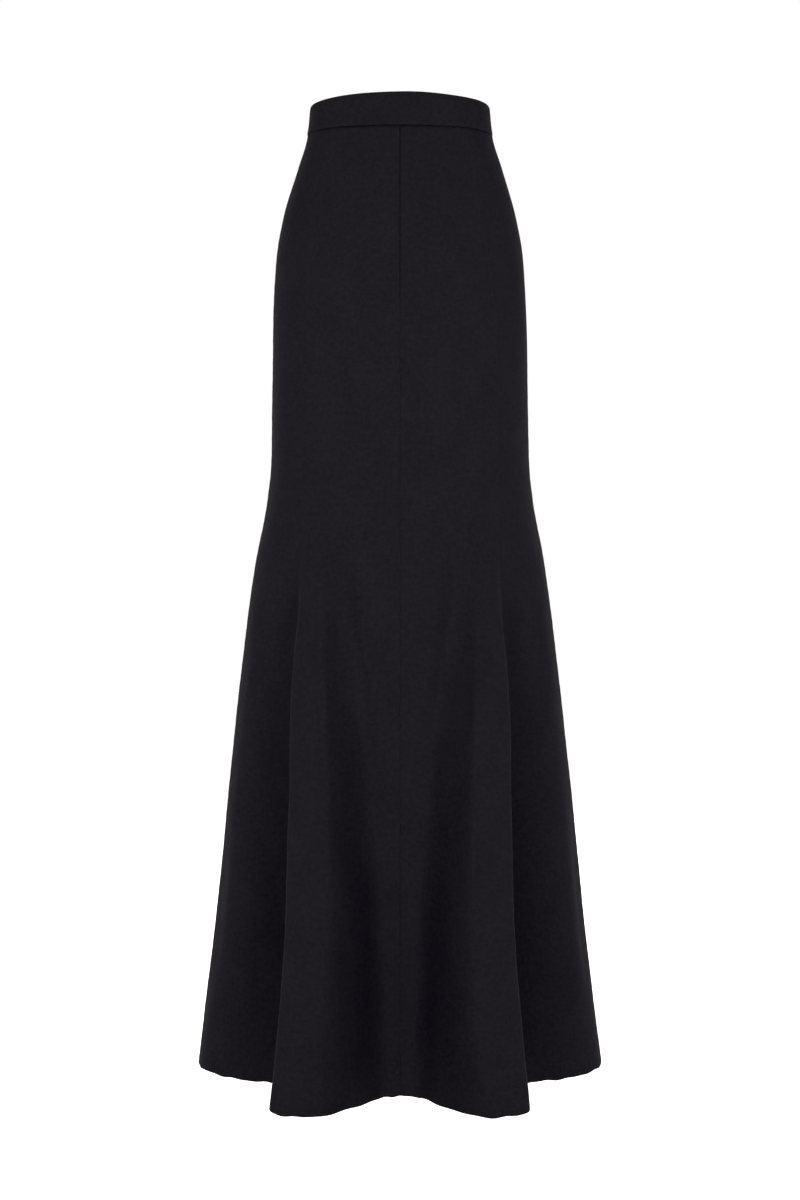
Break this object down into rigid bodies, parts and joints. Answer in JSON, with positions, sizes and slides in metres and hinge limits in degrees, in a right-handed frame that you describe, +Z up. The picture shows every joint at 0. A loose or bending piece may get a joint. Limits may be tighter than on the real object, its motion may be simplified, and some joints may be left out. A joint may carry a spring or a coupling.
{
  "type": "mermaid fishtail skirt",
  "caption": "Floor-length fitted skirt in heavy black crepe with a firm waistband, princess seams that open into deep flutes at a flared fishtail hem, and a hidden zip at the back.",
  "frame": {"origin": "middle of the waist opening, halfway up the waistband, where a waist holds the skirt", "axes": "+Z up out of the waist opening, -Y the front of the skirt, +X the wearer's left"},
  "size_m": [0.5066, 0.4875, 1.1953],
  "materials": {
    "black_crepe": "matt pebbled crepe",
    "black_zip_tape": "woven tape",
    "black_zip_metal": "black enamel, slightly worn"
  },
  "bodies": {
    "skirt": {"front_left": "black_crepe", "side_front_left": "black_crepe", "side_back_left": "black_crepe", "back_left": "black_crepe", "front_right": "black_crepe", "side_front_right": "black_crepe", "side_back_right": "black_crepe", "back_right": "black_crepe", "waistband": "black_crepe", "zip_tape_left": "black_zip_tape", "zip_tape_right": "black_zip_tape", "zip_slider": "black_zip_metal"},
    "pull_tab": {"zip_pull_tab": "black_zip_metal"}
  },
  "joints": [
    {"name": "pull_tab_swing", "type": "hinge", "parent": "skirt", "child": "pull_tab", "pos_m": [0, 0.08718, 0.004], "axis": [1, 0, 0], "range_deg": [0, 155]}
  ]
}
